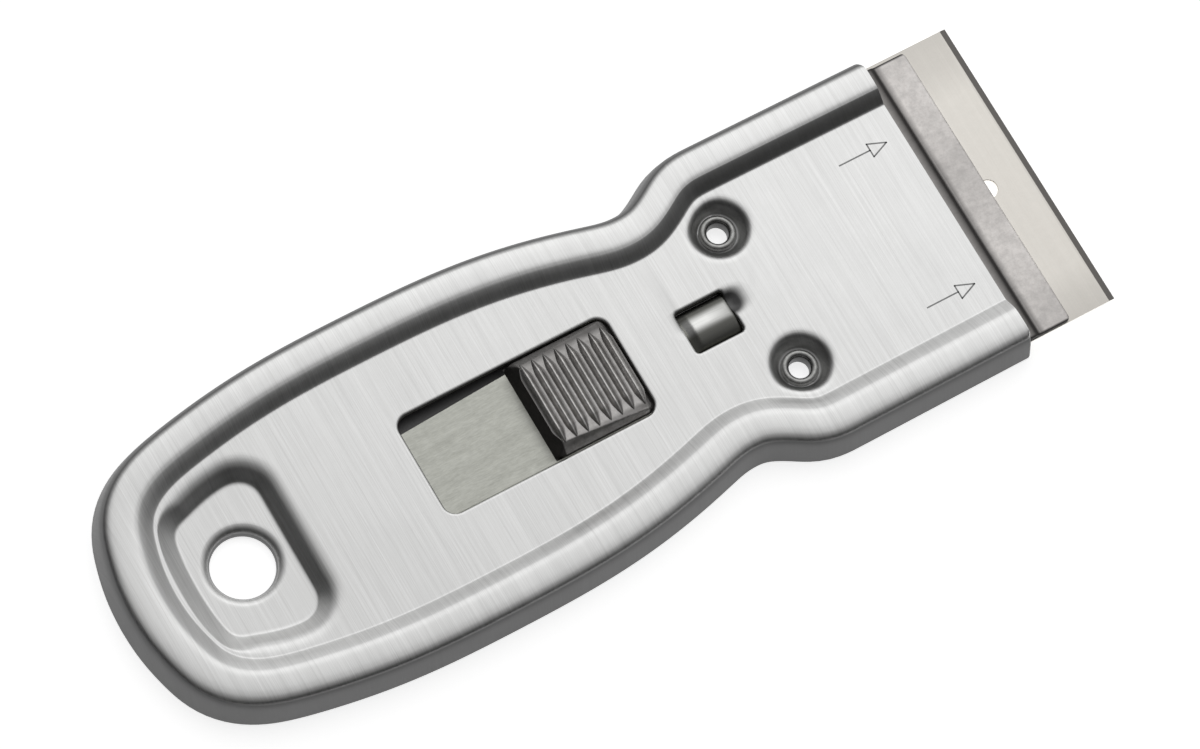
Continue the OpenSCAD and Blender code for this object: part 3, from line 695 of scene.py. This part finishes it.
def lock_spring():
    """The leaf with its half round bump in the lock window."""
    s = Sheet()
    leaf = rounded_box(BUTTON_X0 + 1, LOCK_X1 + 1, LOCK_W + 2.4, 1)
    rows = s.stack(leaf, stamped_edge(SLIDE_Z, SLIDE_Z - SPRING_T, 0.05))
    s.fill(rows[0], [])
    s.fill(rows[-1], [], flip=True)
    half, base = LOCK_W/2 - 0.05, SLIDE_Z + 0.15
    rise = PANEL_Z - 0.1 - base
    x0, x1 = LOCK_X0 + 0.1, LOCK_X1 - 0.1
    xs = [x0, x0 + 0.1, x0 + 0.3, x0 + 0.6, x0 + 0.9, x0 + 1.05, x0 + 1.2, x0 + 1.4, (x0 + x1)/2,
          x1 - 0.5, x1 - 0.25, x1 - 0.12, x1 - 0.04, x1]
    arch = []
    for x in xs:
        # The bump's rear slopes down, its front is a small round edge
        sink = rounded(x1 - x, 0.25) + 0.55*max(0, 1.1 - (x - x0))
        line = []
        for k in range(33):
            a = math.pi*(k - 16)/32
            line.append((x, -half*math.sin(a), base + (rise - sink)*max(0.0, math.cos(a))))
        # Painted shade on its sides and ends, which leaves the crest bright
        side = [unit((abs(y - 0.5) - 0.35)/0.8) for x, y, z in line]
        arch.append(s.row(line, np.maximum(side, unit(1 - (x1 - x)/0.9))))
    for a, b in zip(arch, arch[1:]):
        s.band(a, b, False)
    for a, flip in ((arch[0], True), (arch[-1], False)):
        low = s.row([(s.points[i][0], s.points[i][1], SLIDE_Z - 0.1) for i in a], 1)
        s.band(a, low, False, flip=flip)
    return s.piece("lock_spring_bump", 40)


def razor_blade():
    """The blade with its ground bevel, notches and hole."""
    s = Sheet()
    low_z, top_z, w = BACK_T + RUN_GAP + LEAF, BACK_T + RUN_GAP + LEAF + BLADE_T, BLADE_LEN/2
    rear, face_x = SPINE_X + 0.375, EDGE_X - 0.72
    n0, n1, deep = SPINE_X + 4.45, SPINE_X + 5.5, 1.55
    out = [(face_x, w), (n1, w), (n1, w - deep), (n0, w - deep), (n0, w), (rear, w)]
    out += [(x, -y) for x, y in out[::-1]]
    # The two ends are a little darker than the middle
    top = s.row([(x, y, top_z) for x, y in out], 0.2)
    dull = [(x, y, top_z) for x in np.arange(LIP_X - 1, face_x, 1.2)
            for y in (2.5 - w, 6 - w, w - 8, w - 4)]
    dull = s.row(dull, [0.14 if w - abs(y) < 5 else 0.0 for x, y, z in dull])
    low = s.row([(x, y, low_z) for x, y in out])
    hole = s.stack(ring(EDGE_X - 6, -0.6, POINT_R, 64),
                   [(1.2, top_z), (1.15, top_z - 0.05), (1.15, low_z)], flip=True)
    s.fill(top, [hole[0]], extra=dull)
    s.fill(low, [hole[-1]], flip=True)
    s.band(top, low, False)
    # The ground faces above and below the edge, and their two ends
    edge = s.row([(EDGE_X, -w, low_z + BLADE_T/2), (EDGE_X, w, low_z + BLADE_T/2)], 1.0)
    ground = s.row([s.points[i] for i in (top[-1], top[0], low[0], low[-1])], 1.0)
    s.faces += [(ground[0], edge[0], edge[1], ground[1]), (ground[2], edge[1], edge[0], ground[3]),
                (top[0], edge[1], low[0]), (low[-1], edge[0], top[-1])]
    return s.piece("razor_blade_ground", 10)


def blade_spine():
    """The strip folded over the back of the blade."""
    s = Sheet()
    z0, half, width = BACK_T + RUN_GAP, 18.75, 4.4
    z1 = z0 + 2*LEAF + BLADE_T
    r, x = (z1 - z0)/2, SPINE_X
    loop = [(x + r + r*math.cos(a), (z0 + z1)/2 + r*math.sin(a))
            for a in np.linspace(math.pi/2, 1.5*math.pi, 17)]
    loop += [(x + width - 0.05, z0), (x + width, z0 + 0.06), (x + width, z0 + LEAF),
             (x + LEAF, z0 + LEAF), (x + LEAF, z1 - LEAF), (x + width, z1 - LEAF),
             (x + width, z1 - 0.06), (x + width - 0.05, z1)]
    s.tube([s.row([(a, y, b) for a, b in loop]) for y in (-half, half)])
    return s.piece("blade_spine_folded", 30)


def arrows():
    """Two plain etched arrows on the panel that point to the blade."""
    s = Sheet()
    shaft, length, line = 4.15, 6.35, 0.18
    for x, y in ((39.3, 9.5), (39.3, -10.3)):
        head = [(x + shaft, y + 0.85), (x + length, y - 0.02), (x + shaft, y - 0.9)]
        strokes = [((x, y), (x + shaft, y))] + list(zip(head, head[1:] + head[:1]))
        for a, b in strokes:
            a, b = np.array(a), np.array(b)
            d = (b - a)/np.linalg.norm(b - a)
            a, b, n = a - 0.07*d, b + 0.07*d, line/2*np.array([-d[1], d[0]])
            box = [a - n, b - n, b + n, a + n]
            top = s.row([(u, v, PANEL_Z + 0.004) for u, v in box])
            low = s.row([(u, v, PANEL_Z - 0.05) for u, v in box])
            s.faces += [tuple(top), tuple(low[::-1])]
            s.band(low, top, True)
    return s.piece("etched_arrows", 20)


def linear(hexa):
    """An sRGB hex colour as linear RGBA."""
    c = [int(hexa[i:i + 2], 16)/255 for i in (1, 3, 5)]
    return tuple(v/12.92 if v <= 0.04045 else ((v + 0.055)/1.055)**2.4 for v in c) + (1.0,)


def add(tree, kind, settings=None, **inputs):
    """One node with its settings and its inputs by name or, as i0 and so on, by number.

    An input is a plain value, a socket to link, or a node, which is linked by its first output.
    """
    n = tree.nodes.new(kind)
    for k, v in (settings or {}).items():
        setattr(n, k, v)
    for k, v in inputs.items():
        key = int(k[1:]) if k[0] == "i" and k[1:].isdigit() else k.replace("_", " ")
        if isinstance(v, bpy.types.Node):
            v = v.outputs[0]
        if isinstance(v, bpy.types.NodeSocket):
            tree.links.new(v, n.inputs[key])
        else:
            n.inputs[key].default_value = v
    return n


def empty_tree(owner):
    """The node tree of a material or a world, with nothing in it."""
    owner.use_nodes = True
    owner.node_tree.nodes.clear()
    return owner.node_tree


def finish_of(name, light, dark, rough, streak, bump, wall=None, cut="#b4b5ac", stain=0.0):
    """Sheet metal with a lay of fine scratches.

    Streak gives their number per millimetre along X, Y and Z. Wall and cut are the colours at the
    tones 1 and 2, and stain is how much clouds lighten and darken the metal. Wall is also the
    colour of painted shade, where a piece's tone asks for it.
    """
    mat = bpy.data.materials.new(name)
    t = empty_tree(mat)
    per_mm = 1/MM
    where = add(t, "ShaderNodeTexCoord").outputs["Object"]
    fine = add(t, "ShaderNodeMapping", Vector=where, Scale=tuple(v*per_mm for v in streak))
    grain = add(t, "ShaderNodeTexNoise", Vector=fine, Scale=1.0, Detail=3.0, Roughness=0.6)
    # The scratches are too fine to show from afar, so some are drawn about four times as coarse
    wide = add(t, "ShaderNodeMapping", Vector=where, Scale=tuple(0.23*v*per_mm for v in streak))
    lay = add(t, "ShaderNodeTexNoise", Vector=wide, Scale=1.0, Detail=2.0)
    # Stains are about 1 mm across, and the faint clouds on clean metal about 6 mm
    cloud = add(t, "ShaderNodeTexNoise", Vector=where, Scale=(0.85 if stain else 0.16)*per_mm,
                Detail=4.0, Roughness=0.75)
    both = add(t, "ShaderNodeMath", {"operation": "MULTIPLY_ADD"}, i0=lay, i1=0.5, i2=grain)
    spread = add(t, "ShaderNodeMapRange", Value=both, i1=0.5, i2=1.0)
    colour = add(t, "ShaderNodeMix", {"data_type": "RGBA"}, Factor=spread, i6=linear(dark),
                 i7=linear(light)).outputs[2]
    raw_and_shade = add(t, "ShaderNodeAttribute", {"attribute_name": "tone"}).outputs["Fac"]
    if wall:
        drawn = add(t, "ShaderNodeMapRange", Value=raw_and_shade)
        colour = add(t, "ShaderNodeMix", {"data_type": "RGBA"}, Factor=drawn, i6=colour,
                     i7=linear(wall)).outputs[2]
        bare = add(t, "ShaderNodeMapRange", Value=raw_and_shade, i1=1.0, i2=2.0)
        colour = add(t, "ShaderNodeMix", {"data_type": "RGBA"}, Factor=bare, i6=colour,
                     i7=linear(cut)).outputs[2]
        raw_and_shade = drawn
    if stain:
        # Bare metal is stained most
        spot = add(t, "ShaderNodeMapRange", Value=cloud, i1=0.35, i2=0.65, i3=-stain, i4=stain)
        more = add(t, "ShaderNodeMath", {"operation": "MULTIPLY_ADD"}, i0=bare, i1=1.2, i2=1.0)
        shade = add(t, "ShaderNodeMath", {"operation": "MULTIPLY_ADD"}, i0=spot, i1=more, i2=1.0)
        colour = add(t, "ShaderNodeVectorMath", {"operation": "SCALE"}, i0=colour, Scale=shade)
    dull = add(t, "ShaderNodeMath", {"operation": "MULTIPLY_ADD"}, i0=grain, i1=0.12,
               i2=rough - 0.06)
    dull = add(t, "ShaderNodeMath", {"operation": "MULTIPLY_ADD"}, i0=cloud, i1=0.08, i2=dull)
    dull = add(t, "ShaderNodeMath", {"operation": "MULTIPLY_ADD"}, i0=raw_and_shade, i1=0.12, i2=dull)
    rise = add(t, "ShaderNodeBump", Strength=bump, Distance=0.00002, Height=both)
    surf = add(t, "ShaderNodeBsdfPrincipled", Base_Color=colour, Metallic=1.0, Roughness=dull,
               Normal=rise)
    add(t, "ShaderNodeOutputMaterial", Surface=surf)
    return mat


# Stainless sheet, brushed across the tool before pressing; its grey wall colour is painted shade on
# the drawn wall, the left flank and the pressed dents
SHELL = finish_of("brushed_stainless", "#f3f3f2", "#dcdcdb", 0.3, (11, 0.12, 0.12), 0.3,
                  wall="#6c6c6c")
# Nickel plated rivets, darker than the sheet
RIVET = finish_of("plated_rivet", "#b4b4b2", "#8e8e8c", 0.22, (2, 2, 2), 0.2, wall="#4a4a4a")
# Rolled steel strip, matt and slightly green; its lip is worn warm and mottled, and its dark wall
# colour is painted shade at the mouth, on the bend and round the button
ROLLED = finish_of("rolled_steel", "#d4d5cd", "#b9bab2", 0.4, (1.2, 6, 1.2), 0.5, wall="#484645",
                   cut="#f2eeeb", stain=0.06)
# The back plate: satin, with darker edges; its inner face is darker too, as painted shade inside
# the shell
BACK = finish_of("satin_steel", "#d5d5d4", "#bcbcbb", 0.38, (8, 0.15, 0.15), 0.3, wall="#747474")
# Carbon steel blade, ground along its length: warm satin, darker ground bevel
BLADE = finish_of("ground_blade_steel", "#ece8e1", "#e4e0d9", 0.36, (6, 0.1, 3), 0.2,
                  wall="#7d7a77", stain=0.03)
# Die cast button, tumbled: crests polished by the thumb, dark skin in its grooves, and painted
# shade on its rear wall, nose and sides
BUTTON = finish_of("burnished_casting", "#f4f2f0", "#cfccc9", 0.4, (2, 2, 2), 0.6, wall="#5e5c5b",
                   stain=0.12)
# Spring steel; its wall colour is painted shade on the sides and ends of its bump, whose crest
# stays bright
SPRING = finish_of("spring_steel", "#f2f2f0", "#dededc", 0.25, (0.4, 5, 5), 0.3, wall="#70706c")
# Etched marks: matt and darker than the brushed face
ETCHED = finish_of("etched_mark", "#a2a2a2", "#8a8a8a", 0.5, (3, 3, 3), 0.2)

for make, node, body, metal, slot in (
        (front_shell, "front_shell", "handle", SHELL, "brushed_shell"),
        (back_plate, "back_plate", "handle", BACK, "back_steel"),
        (eyelet_left, "eyelet_left", "handle", RIVET, "brushed_shell"),
        (eyelet_right, "eyelet_right", "handle", RIVET, "brushed_shell"),
        (slide_plate, "slide_plate", "slide", ROLLED, "slide_steel"),
        (thumb_button, "thumb_button", "slide", BUTTON, "button_metal"),
        (lock_spring, "lock_spring", "slide", SPRING, "spring_steel"),
        (razor_blade, "razor_blade", "slide", BLADE, "blade_steel"),
        (blade_spine, "blade_spine", "slide", ROLLED, "slide_steel")):
    obj = make()
    obj.data.materials.append(metal)
    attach(obj, body)
    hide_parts(node)

marks = arrows()
marks.data.materials.append(ETCHED)
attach(marks, "handle")


def world():
    """A pale tent, darker low on the near and rear sides, which the slopes of the metal show."""
    w = bpy.data.worlds.new("studio")
    bpy.context.scene.world = w
    t = empty_tree(w)
    way = add(t, "ShaderNodeTexCoord").outputs["Generated"]
    part = add(t, "ShaderNodeSeparateXYZ", Vector=way).outputs
    level = None
    # Axis, where along it the light begins to change and has changed, what is left at each
    for axis, a, b, before, after in (
            (1, -0.92, 0.4, 0.0, 1.0), (0, -0.9, 0.0, 0.0, 1.0), (0, 0.05, 0.4, 0.7, 1.0),
            (0, 0.42, 1.0, 1.0, 0.35), (1, 0.6, 1.1, 1.0, 0.75)):
        step = add(t, "ShaderNodeMapRange", {"interpolation_type": "SMOOTHSTEP"},
                   Value=part[axis], i1=a, i2=b, i3=before, i4=after)
        if level:
            step = add(t, "ShaderNodeMath", {"operation": "MULTIPLY"}, i0=level, i1=step)
        level = step
    level = add(t, "ShaderNodeMapRange", Value=level, i3=0.02, i4=0.84)
    seen = add(t, "ShaderNodeLightPath").outputs["Is Camera Ray"]
    mix = add(t, "ShaderNodeMix", {"data_type": "FLOAT"}, i0=seen, i2=level, i3=1.0)
    bg = add(t, "ShaderNodeBackground", Color=(1, 1, 1, 1), Strength=mix)
    add(t, "ShaderNodeOutputWorld", Surface=bg)


def floor():
    """White card under the tool; it keeps the shadow."""
    mesh = bpy.data.meshes.new("floor")
    r, z = 2.0, -0.00006
    mesh.from_pydata([(-r, -r, z), (r, -r, z), (r, r, z), (-r, r, z)], [], [(0, 1, 2, 3)])
    obj = bpy.data.objects.new("floor", mesh)
    bpy.context.scene.collection.objects.link(obj)
    mat = bpy.data.materials.new("white_card")
    t = empty_tree(mat)
    path = add(t, "ShaderNodeLightPath").outputs
    eye = add(t, "ShaderNodeMath", {"operation": "ADD"}, i0=path["Is Camera Ray"],
              i1=path["Is Glossy Ray"])
    eye = add(t, "ShaderNodeMath", {"operation": "ADD", "use_clamp": True}, i0=eye,
              i1=path["Is Transmission Ray"])
    glow = add(t, "ShaderNodeMath", {"operation": "MULTIPLY"}, i0=eye, i1=0.75)
    lit = add(t, "ShaderNodeEmission", Color=(1, 1, 1, 1), Strength=glow)
    card = add(t, "ShaderNodeBsdfDiffuse", Color=linear("#e8e8e8"))
    both = add(t, "ShaderNodeAddShader", i0=lit, i1=card)
    add(t, "ShaderNodeOutputMaterial", Surface=both)
    mesh.materials.append(mat)


def lamp(name, at, size, watts, turn=None):
    """A soft lamp that faces the tool, or straight down when it is given a turn in degrees."""
    data = bpy.data.lights.new(name, "AREA")
    data.shape = "RECTANGLE"
    data.size, data.size_y = size
    data.energy = watts
    obj = bpy.data.objects.new(name, data)
    obj.location = at
    if turn is None:
        obj.rotation_euler = (-Vector(at)).to_track_quat("-Z", "Y").to_euler()
    else:
        obj.rotation_euler = (0, 0, math.radians(turn))
    bpy.context.scene.collection.objects.link(obj)


def at_photo():
    """The camera, from a fit of the tool's right angles and round holes to the photograph."""
    azimuth, tilt, roll = math.radians(-45.23), math.radians(21.05), math.radians(16.16)
    aim, distance = Vector((MOUTH_X - 45.95, 0.34, PANEL_Z)), 669.83
    focal_px, photo_px, sensor = 5911.05, 1200, 36
    away = Vector((math.sin(tilt)*math.sin(azimuth), -math.sin(tilt)*math.cos(azimuth),
                   math.cos(tilt)))
    right = (-away).cross(Vector((0, 0, 1))).normalized()
    up = right.cross(-away)
    r = math.cos(roll)*right + math.sin(roll)*up
    u = math.cos(roll)*up - math.sin(roll)*right
    cam = bpy.data.cameras.new("photo_camera")
    cam.sensor_width = sensor
    cam.lens = focal_px*sensor/photo_px
    cam.clip_start = 0.01
    obj = bpy.data.objects.new("photo_camera", cam)
    m = Matrix((r, u, away)).transposed().to_4x4()
    m.translation = (aim + distance*away)*MM
    obj.matrix_world = m
    bpy.context.scene.collection.objects.link(obj)
    bpy.context.scene.camera = obj


world()
floor()
lamp("far_softbox", (0.35, 0.65, 1.25), (1.2, 1.2), 0.9)
# Low card over the front, whose edge gives the soft gradient along the panel
lamp("front_card", (0.165, 0.2, 0.22), (0.35, 0.5), 0.12, turn=53)
at_photo()
bpy.context.scene.view_settings.view_transform = "Standard"
